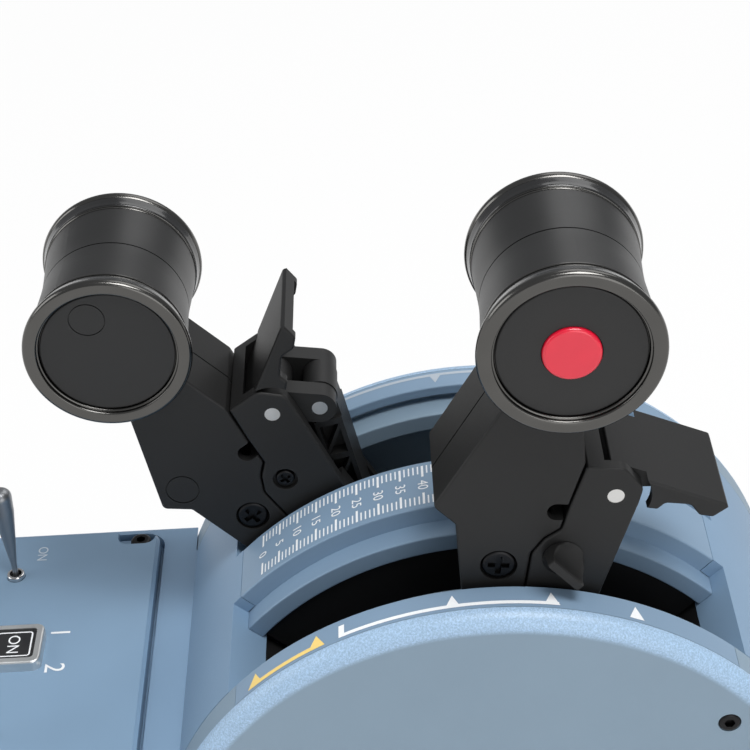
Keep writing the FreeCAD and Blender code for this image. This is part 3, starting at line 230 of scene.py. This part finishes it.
def rimmed(name, color, highlight_ink, rough):
    """Blue moulding of a cheek: plain on its face, coarse grain on its rounded rim, where a painted highlight
    makes it pale and painted glints make it sparkle.
    """
    f = Finish(name, color, rough)
    apart = f.node("SeparateXYZ", Vector=f.place())
    across, forward, up = (f.value(apart, i) for i in range(3))
    forward = forward - shaft.y
    up = up - shaft.z
    radius = (forward * forward + up * up).math("SQRT")
    smooth_r, coarse_r = drum_r - 4.6 * MM, drum_r - 3.4 * MM
    rim = f.value(f.node("MapRange", Value=radius, From_Min=smooth_r, From_Max=coarse_r))
    rim = rim * (across.math("ABSOLUTE") > rim_band)
    coarse = f.noise(0.42 * MM, detail=3.0, roughness=0.75)
    # Painted glints: the brightest grains of the coarse noise. The grain itself is the rim's own, in the bump
    # below.
    glints = f.value(f.node("MapRange", Value=coarse, From_Min=0.40, From_Max=0.66))
    drift = f.noise(drift_size, detail=2.0)
    plain = f.blend_color(drift, scaled(color, 0.96), scaled(color, 1.04))
    # Painted highlight: the rim takes a paler colour, lighter still at the glints.
    painted_rim_sheen = f.blend_color(glints, scaled(highlight_ink, 0.88), scaled(highlight_ink, 1.30))
    f.feed("Base Color", f.blend_color(rim, plain, painted_rim_sheen))
    fine = f.noise(0.35 * MM, detail=2.0)
    f.feed("Roughness", fine * gloss_spread + (rough - gloss_spread / 2) - rim * 0.10)
    f.bump(fine * 0.35 + coarse * rim, 0.03 * MM)
    return f.material


def turned_metal(name, color, rough, streak=0.10):
    f = Finish(name, color, rough, metal=1.0)
    fine = f.noise(0.5 * MM, detail=2.0)
    wide = f.noise(9 * MM, detail=1.0)
    f.feed("Roughness", fine * streak + wide * wide_spread + (rough - 0.5 * streak - wide_spread / 2))
    f.feed("Base Color", f.blend_color(wide, scaled(color, 0.9), scaled(color, 1.1)))
    return f.material


def lacquer(name, color, rough):
    f = Finish(name, color, rough)
    f.shader.inputs["Coat Weight"].default_value = 0.6
    f.shader.inputs["Coat Roughness"].default_value = 0.08
    wide = f.noise(6 * MM, detail=1.0)
    f.feed("Base Color", f.blend_color(wide, scaled(color, 0.94), scaled(color, 1.06)))
    f.bump(f.noise(1.2 * MM, detail=1.0), 0.004 * MM)
    return f.material


def ink_finish(name, color):
    f = Finish(name, color, 0.55)
    patch = f.noise(0.6 * MM, detail=2.0)
    f.feed("Base Color", f.blend_color(patch, scaled(color, 0.94), scaled(color, 1.04)))
    return f.material


finishes = {
    "housing": moulding("housing_blue", ink(124, 152, 179), 0.50),
    # The second colour is a painted highlight on the cheek's rounded rim.
    "cheek": rimmed("cheek_blue", ink(130, 151, 168), ink(154, 181, 207), 0.50),
    "panel": moulding("panel_blue", ink(126, 154, 180), 0.46),
    "rib": moulding("rib_blue", ink(126, 151, 175), 0.45, grain=0.3 * MM),
    "plate": moulding("plate_blue", ink(110, 136, 162), 0.55),
    "lever": moulding("lever_black", ink(27, 27, 27), 0.50, grain=0.28 * MM, depth=0.010 * MM, cloud=0.08,
                      specular=0.35),
    "inner": moulding("inner_black", ink(20, 20, 21), 0.6, specular=0.3),
    "grip": moulding("grip_black", ink(23, 23, 23), 0.40, grain=0.22 * MM, depth=0.006 * MM),
    "cap": moulding("cap_black", ink(23, 23, 23), 0.5, grain=0.25 * MM),
    "ring": turned_metal("ring_gunmetal", ink(92, 91, 89), 0.20, streak=0.04),
    "flare": lacquer("flare_black", ink(16, 16, 17), 0.22),
    "red": lacquer("button_red", ink(222, 18, 52), 0.3),
    "pin": turned_metal("pin_steel", ink(214, 213, 211), 0.36),
    "screw": turned_metal("screw_black", ink(46, 46, 47), 0.38),
    "steel": turned_metal("inner_steel", ink(170, 171, 173), 0.4),
    "bronze": turned_metal("bronze", ink(176, 138, 84), 0.45),
    "rubber": moulding("foot_rubber", ink(30, 30, 30), 0.8),
    "bezel": turned_metal("bezel_grey", ink(214, 216, 216), 0.42),
    "square": lacquer("square_black", ink(22, 22, 24), 0.28),
    "toggle": turned_metal("toggle_grey", ink(150, 152, 155), 0.42, streak=0.05),
    "nickel": turned_metal("bush_nickel", ink(205, 205, 205), 0.18, streak=0.03),
    "knob": moulding("knob_grey", ink(70, 72, 75), 0.5),
    "board": lacquer("board_green", ink(22, 70, 40), 0.4),
    "white": ink_finish("mark_white", ink(242, 244, 246)),
    "pale": ink_finish("mark_pale", ink(205, 215, 224)),
    # Painted shade: the white print darkened to grey, for the far (left) cheek's band marks.
    "grey": ink_finish("mark_white_shaded", ink(176, 186, 196)),
    "yellow": ink_finish("mark_yellow", ink(246, 214, 128)),
}

node_finish = {
    "main_housing": "housing", "cheek": "cheek", "rim_strips": "rib", "scale_rib": "rib",
    "housing_screws": "screw", "panel_screws": "screw", "slot_guards": "inner", "centre_pedestal": "inner",
    "bearing_plates": "steel", "detent_sectors": "steel", "lever_shaft": "steel",
    "friction_washers": "rubber", "sensor_boards": "board", "main_board": "board", "bottom_plate": "plate",
    "rubber_feet": "rubber", "control_panel": "panel", "square_button_bezel": "bezel",
    "square_button": "square", "toggle_switches": "nickel", "toggle_bat": "toggle",
    "selector_switch": "inner", "selector_knob": "knob", "usb_socket": "steel", "lever_spine": "inner",
    "lever_covers": "lever", "paddle_carrier": "lever", "hub_bush": "bronze", "hub_magnet": "steel",
    "detent_roller": "steel", "lever_screws": "screw", "paddle_pivot_pin": "pin", "strut_pins": "pin",
    "grip_barrel": "grip", "grip_rings": "ring", "grip_caps": "cap", "grip_button": "red",
    "latch_knob": "lever", "reverse_paddle": "lever", "lift_strut": "lever",
}
for name, node in nodes.items():
    kind = name.removesuffix("_right").removesuffix("_left")
    node.data.materials.clear()
    node.data.materials.append(finishes[node_finish[kind]])


# ---- printed marks ---------------------------------------------------------------------------------------
def on_drum(x, angle, radius):
    """Point on the drum at a sideways place and an angle forward of upright."""
    a = math.radians(angle)
    return Vector((x, shaft.y + radius * math.sin(a), shaft.z + radius * math.cos(a)))


def finish_piece(obj, name, body, finish):
    obj.name = name
    obj.data.name = name
    obj.data.materials.clear()
    obj.data.materials.append(finishes[finish])
    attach(obj, body)
    return obj


def mesh_object(name, points, edges=(), faces=()):
    """Object made of those points, the only one selected."""
    mesh = bpy.data.meshes.new(name)
    mesh.from_pydata(points, edges, faces)
    obj = bpy.data.objects.new(name, mesh)
    bpy.context.scene.collection.objects.link(obj)
    bpy.ops.object.select_all(action="DESELECT")
    obj.select_set(True)
    bpy.context.view_layer.objects.active = obj
    return obj


def flat_patch(width, length, cuts):
    """Flat plane of that width along X and length along Y, cut across into strips."""
    bpy.ops.object.select_all(action="DESELECT")
    bpy.ops.mesh.primitive_grid_add(x_subdivisions=1, y_subdivisions=cuts, size=1)
    obj = bpy.context.object
    for v in obj.data.vertices:
        v.co = Vector((v.co.x * width, v.co.y * length, 0))
    return obj


def joined(parts):
    bpy.ops.object.select_all(action="DESELECT")
    for part in parts:
        part.select_set(True)
    bpy.context.view_layer.objects.active = parts[0]
    bpy.ops.object.join()
    return bpy.context.object


def wrapped(obj, x, angle):
    """Lays a flat mesh (X sideways, Y along the drum) onto the drum, its origin at (x, angle)."""
    for v in obj.data.vertices:
        turn = angle + math.degrees(v.co.y / drum_r)
        v.co = on_drum(x + v.co.x, turn, drum_r + print_lift)
    return obj


def lettering(text, height):
    """Flat mesh of a word, centred on its origin, capital letters of that height."""
    capital = 0.70                            # height of a capital letter in the font, of its size
    bpy.ops.object.select_all(action="DESELECT")
    bpy.ops.object.text_add()
    obj = bpy.context.object
    obj.data.body = text
    obj.data.size = height / capital
    obj.data.align_x = "CENTER"
    obj.data.resolution_u = 4
    bpy.ops.object.convert(target="MESH")
    obj = bpy.context.object
    xs = [v.co.x for v in obj.data.vertices]
    ys = [v.co.y for v in obj.data.vertices]
    middle = Vector(((min(xs) + max(xs)) / 2, (min(ys) + max(ys)) / 2, 0))
    for v in obj.data.vertices:
        v.co -= middle
    return obj


def make_scale():
    """Unit ticks in two rows with the numbers 0 to 45 between them."""
    ticks = []
    for unit in range(scale_top + 1):
        angle = zero_angle + unit * degree_per_unit
        length, width = short_tick if unit % number_step else long_tick
        for side in (-1, 1):
            ticks.append(wrapped(flat_patch(length, width, 1), side * (scale_edge - length / 2), angle))
    finish_piece(joined(ticks), "scale_ticks", "base", "white")
    numbers = [wrapped(lettering(str(unit), scale_letter), 0, zero_angle + unit * degree_per_unit)
               for unit in range(0, scale_top + 1, number_step)]
    finish_piece(joined(numbers), "scale_numbers", "base", "white")


def band_strip(side, inner, angles):
    """Bar on a cheek's band, from |x| = inner to the band's outer line and between two angles."""
    start, end = angles
    cuts = max(1, round((end - start) / 1.5))
    length = math.radians(end - start) * drum_r
    return wrapped(flat_patch(band_outer - inner, length, cuts), side * (inner + band_outer) / 2,
                   (start + end) / 2)


def band_triangle(side, angle, half_angle):
    """Triangle on a cheek's band that points to the slot."""
    half = math.radians(half_angle) * drum_r
    tip = (point_tip - band_outer) * side
    points = [(0, -side * half, 0), (0, side * half, 0), (tip, 0, 0)]
    return wrapped(mesh_object("mark", points, faces=[(0, 1, 2)]), side * band_outer, angle)


def make_band_marks(side):
    name = side_name(side)
    white = [band_strip(side, white_inner, white_line), band_strip(side, hook_inner, white_hook)]
    white += [band_triangle(side, angle, white_half) for angle in white_points]
    # Painted shade: the left cheek's white marks get the grey, shaded copy of the white print.
    lit_or_shaded = "white" if side > 0 else "grey"
    finish_piece(joined(white), "band_marks_white_" + name, "base", lit_or_shaded)
    yellow = [band_strip(side, yellow_inner, yellow_line)]
    yellow += [band_triangle(side, angle, yellow_half) for angle in yellow_points]
    finish_piece(joined(yellow), "band_marks_yellow_" + name, "base", "yellow")


def on_panel(x, y, height):
    """Point over the pitched panel: x and y from the lever shaft, height above the deck's plane."""
    along = y - (deck_point.y - shaft.y)
    return deck_point + Vector((x, along * math.cos(deck_pitch) - height * math.sin(deck_pitch),
                                along * math.sin(deck_pitch) + height * math.cos(deck_pitch)))


def laid(obj, x, y, height):
    """Lays a flat mesh on the panel, its origin at (x, y)."""
    for v in obj.data.vertices:
        v.co = on_panel(x + v.co.x, y + v.co.y, height + print_lift)
    return obj


def rounded_square(half, radius):
    """Points round a square with rounded corners."""
    steps = 6                                 # faces round each corner
    points = []
    for quarter, (sx, sy) in enumerate(((1, 1), (-1, 1), (-1, -1), (1, -1))):
        for i in range(steps + 1):
            a = math.radians(90 * quarter + 90 * i / steps)
            points.append((sx * (half - radius) + radius * math.cos(a),
                           sy * (half - radius) + radius * math.sin(a), 0))
    return points


def square_frame(half, radius, line):
    """Flat rounded square outline."""
    outer = rounded_square(half, radius)
    inner = rounded_square(half - line, radius - line)
    count = len(outer)
    faces = [(i, (i + 1) % count, count + (i + 1) % count, count + i) for i in range(count)]
    return mesh_object("frame", outer + inner, faces=faces)


def panel_word(text, x, y, height, name, finish="pale"):
    finish_piece(laid(lettering(text, height), x, y, panel_raise), name, "base", finish)


make_scale()
for side in (-1, 1):
    make_band_marks(side)
for side, number in ((-1, "1"), (1, "2")):
    panel_word("ON", side * switch_x, on_y, switch_letter, "word_on_" + side_name(side))
    panel_word("OFF", side * switch_x, off_y, switch_letter, "word_off_" + side_name(side))
    panel_word(number, side * number_x, number_y, number_letter, "number_" + side_name(side), "white")
finish_piece(joined([laid(square_frame(frame_half, frame_corner, frame_line), 0, button_y, button_raise),
                     laid(lettering("ON", button_letter), 0, button_y, button_raise)]),
             "button_face_marks", "square_button", "white")


# ---- grips and latches -----------------------------------------------------------------------------------
def placed_on_lever(obj, side):
    """Moves a mesh drawn on the upright right-hand lever, from the shaft, to its lever at rest."""
    a = math.radians(lever_angle[side])
    for v in obj.data.vertices:
        x, y, z = v.co
        v.co = Vector((side * x,
                       shaft.y + y * math.cos(a) + z * math.sin(a),
                       shaft.z - y * math.sin(a) + z * math.cos(a)))
    if side < 0:
        obj.data.flip_normals()
    return obj


def smooth_shell(angle):
    """Ends edit mode with the faces turned outwards and the edges softer than that angle smooth."""
    bpy.ops.mesh.normals_make_consistent(inside=False)
    bpy.ops.object.mode_set(mode="OBJECT")
    bpy.ops.object.shade_smooth_by_angle(angle=math.radians(angle))


def spun(profile):
    """Closed profile of (x, radius) spun about the X axis."""
    count = len(profile)
    edges = [(i, (i + 1) % count) for i in range(count)]
    obj = mesh_object("profile", [(x, 0, r) for x, r in profile], edges=edges)
    bpy.ops.object.mode_set(mode="EDIT")
    bpy.ops.mesh.select_all(action="SELECT")
    bpy.ops.mesh.spin(steps=128, angle=2 * math.pi, center=(0, 0, 0), axis=(1, 0, 0))
    bpy.ops.mesh.select_all(action="SELECT")
    bpy.ops.mesh.remove_doubles(threshold=0.002 * MM)
    smooth_shell(38)
    return obj


# ring profiles, in millimetres: distance in from the grip's end, and radius
rim_profile = [(2.3, 17.0), (2.3, 18.9), (2.05, 19.1), (1.7, 19.24), (1.2, 19.3), (0.75, 19.24),
               (0.35, 19.05), (0.08, 18.75), (0, 18.4), (0, 16.35), (0.12, 16.15), (0.35, 16.05), (0.9, 16.0),
               (0.95, 15.75), (1.05, 15.66), (1.6, 15.62), (1.75, 15.5), (1.75, 15.0), (2.3, 15.0)]
flare_profile = [(2.3, 17.0), (2.3, 18.84), (2.6, 18.78), (3.4, 18.5), (4.2, 18.32), (4.62, 18.26),
                 (4.72, 18.16), (4.72, 17.6), (6.0, 17.6), (6.0, 17.0)]
bead_profiles = [[(4.78, 17.6), (4.78, 18.02), (4.88, 18.16), (5.02, 18.16), (5.12, 18.02), (5.12, 17.6)],
                 [(5.55, 17.6), (5.55, 18.06), (5.66, 18.2), (5.84, 18.2), (5.98, 18.06), (5.98, 17.6)]]


def make_grip_ends(side):
    """Rims, black flares and the fine beads at both ends of a grip."""
    name = side_name(side)
    rims, flares = [], []
    rings = [(rim_profile, rims), (flare_profile, flares)] + [(bead, rims) for bead in bead_profiles]
    for way in (-1, 1):
        for profile, group in rings:
            ring = spun([(way * (grip_half - d * MM), r * MM) for d, r in profile])
            for v in ring.data.vertices:
                v.co += Vector((lever_centre, 0, grip_height))
            group.append(placed_on_lever(ring, side))
    rim = finish_piece(joined(rims), "grip_rims_" + name, "lever_" + name, "ring")
    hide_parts("grip_rings_" + name)
    finish_piece(joined(flares), "grip_flares_" + name, "lever_" + name, "flare")


def make_latch_wing(side):
    """Thumb latch: a straight wing with hollow flanks that spread into a round foot."""
    name = side_name(side)
    middle = Vector((0, 5.7 * MM, 86.9 * MM))
    slant = math.radians(-42)
    along = Vector((0, math.cos(slant), math.sin(slant)))
    across = Vector((0, -along.z, along.y))
    foot_r, foot_gap, height = 4.5 * MM, 0.2 * MM, 6.2 * MM
    wing_half, wing_thick, end_chamfer = 4.9 * MM, 1.1 * MM, 0.2 * MM
    layers, count = 14, 64
    points = []
    for layer in range(layers + 1):
        t = layer / layers
        spread = (1 - t) ** 3.2
        half_thick = wing_thick + (foot_r - wing_thick) * spread
        half_long = foot_r + (wing_half - foot_r) * t
        power = 2 + 12 * (1 - spread) ** 2    # 2 gives an ellipse, more comes near a rectangle
        trim = end_chamfer if layer == layers else 0.0
        for i in range(count):
            a = 2 * math.pi * i / count
            c, d = math.cos(a), math.sin(a)
            scale = (abs(c) ** power + abs(d) ** power) ** (-1 / power)
            points.append(middle + along * (half_long - trim) * c * scale
                          + across * (half_thick - trim) * d * scale
                          + Vector((lever_face + foot_gap + height * t, 0, 0)))
    faces = []
    for low in range(0, layers * count, count):
        high = low + count
        for i in range(count):
            j = (i + 1) % count
            faces.append((low + i, low + j, high + j, high + i))
    faces.append(tuple(range(layers * count, (layers + 1) * count)))
    faces.append(tuple(reversed(range(count))))
    wing = mesh_object("wing", points, faces=faces)
    bpy.ops.object.mode_set(mode="EDIT")
    bpy.ops.mesh.select_all(action="SELECT")
    smooth_shell(40)
    finish_piece(placed_on_lever(wing, side), "latch_wing_" + name, "latch_" + name, "lever")
    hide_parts("latch_knob_" + name)


for side in (1, -1):
    make_grip_ends(side)
    make_latch_wing(side)


# ---- room, light and camera ------------------------------------------------------------------------------
floor_glow = 0.93                             # how bright the floor looks to the camera and in reflections
sky_strength = 0.35                           # world light that falls on the object
lamps = [                                     # name, place, aim, width and height, watts
    ("key", (0.20, 0.20, 1.00), (0, -0.02, 0.08), (0.44, 0.44), 6.7),
    ("rear", (-0.55, 0.25, 0.75), (0, 0.02, 0.10), (0.6, 0.5), 1.6),
    ("side", (0.85, 0.30, 0.35), (0, 0.02, 0.08), (0.6, 0.6), 2.2),
    ("pilot", (0.05, -0.9, 0.45), (0, 0.0, 0.08), (0.6, 0.5), 2.4),
]
camera_place = Vector((0.3718, 0.0054, 0.3949))
camera_azimuth, camera_elevation = math.radians(88.948), math.radians(34.076)
camera_lens, camera_sensor = 95.2, 36         # millimetres


def make_floor():
    bpy.ops.object.select_all(action="DESELECT")
    bpy.ops.mesh.primitive_plane_add(size=8, location=(0, 0, cad_box[0][2]))
    floor = bpy.context.object
    floor.name = "floor"
    f = Finish("floor_white", (0.86, 0.86, 0.86), 0.9, specular=0.1)
    paths = f.node("LightPath")
    seen = f.value(paths, "Is Camera Ray").math("MAXIMUM", f.value(paths, "Is Glossy Ray"))
    glow = f.node("Emission", Color=(1, 1, 1, 1), Strength=1.0)
    mixed = f.node("MixShader")
    output = next(n for n in f.tree.nodes if n.type == "OUTPUT_MATERIAL")
    f.tree.links.new((seen * floor_glow).socket, mixed.inputs[0])
    f.tree.links.new(f.shader.outputs[0], mixed.inputs[1])
    f.tree.links.new(glow.outputs[0], mixed.inputs[2])
    f.tree.links.new(mixed.outputs[0], output.inputs[0])
    floor.data.materials.append(f.material)


def make_world():
    world = bpy.data.worlds.new("studio")
    bpy.context.scene.world = world
    world.use_nodes = True
    tree = world.node_tree
    back = next(n for n in tree.nodes if n.type == "BACKGROUND")
    back.inputs["Color"].default_value = (0.95, 0.97, 1.0, 1)
    back.inputs["Strength"].default_value = sky_strength
    plain = tree.nodes.new("ShaderNodeBackground")
    plain.inputs["Strength"].default_value = 1.0
    paths = tree.nodes.new("ShaderNodeLightPath")
    mixed = tree.nodes.new("ShaderNodeMixShader")
    tree.links.new(paths.outputs["Is Camera Ray"], mixed.inputs[0])
    tree.links.new(back.outputs[0], mixed.inputs[1])
    tree.links.new(plain.outputs[0], mixed.inputs[2])
    output = next(n for n in tree.nodes if n.type == "OUTPUT_WORLD")
    tree.links.new(mixed.outputs[0], output.inputs[0])


def area_lamp(name, place, aim, size, power):
    lamp = bpy.data.lights.new(name, "AREA")
    lamp.shape = "RECTANGLE"
    lamp.size, lamp.size_y = size
    lamp.energy = power
    obj = bpy.data.objects.new(name, lamp)
    bpy.context.scene.collection.objects.link(obj)
    obj.location = place
    obj.rotation_euler = (Vector(aim) - Vector(place)).to_track_quat("-Z", "Y").to_euler()


def make_camera():
    """Looks from the pilot's right and above."""
    camera = bpy.data.cameras.new("camera")
    camera.lens = camera_lens
    camera.sensor_width = camera_sensor
    camera.clip_start = 0.01
    obj = bpy.data.objects.new("camera", camera)
    bpy.context.scene.collection.objects.link(obj)
    back = Vector((math.sin(camera_azimuth) * math.cos(camera_elevation),
                   -math.cos(camera_azimuth) * math.cos(camera_elevation),
                   math.sin(camera_elevation)))
    right = Vector((0, 0, 1)).cross(back).normalized()
    up = back.cross(right)
    turn = Matrix((right, up, back)).transposed().to_4x4()
    turn.translation = camera_place
    obj.matrix_world = turn
    bpy.context.scene.camera = obj


make_floor()
make_world()
for lamp in lamps:
    area_lamp(*lamp)
make_camera()
bpy.context.scene.view_settings.view_transform = "Standard"
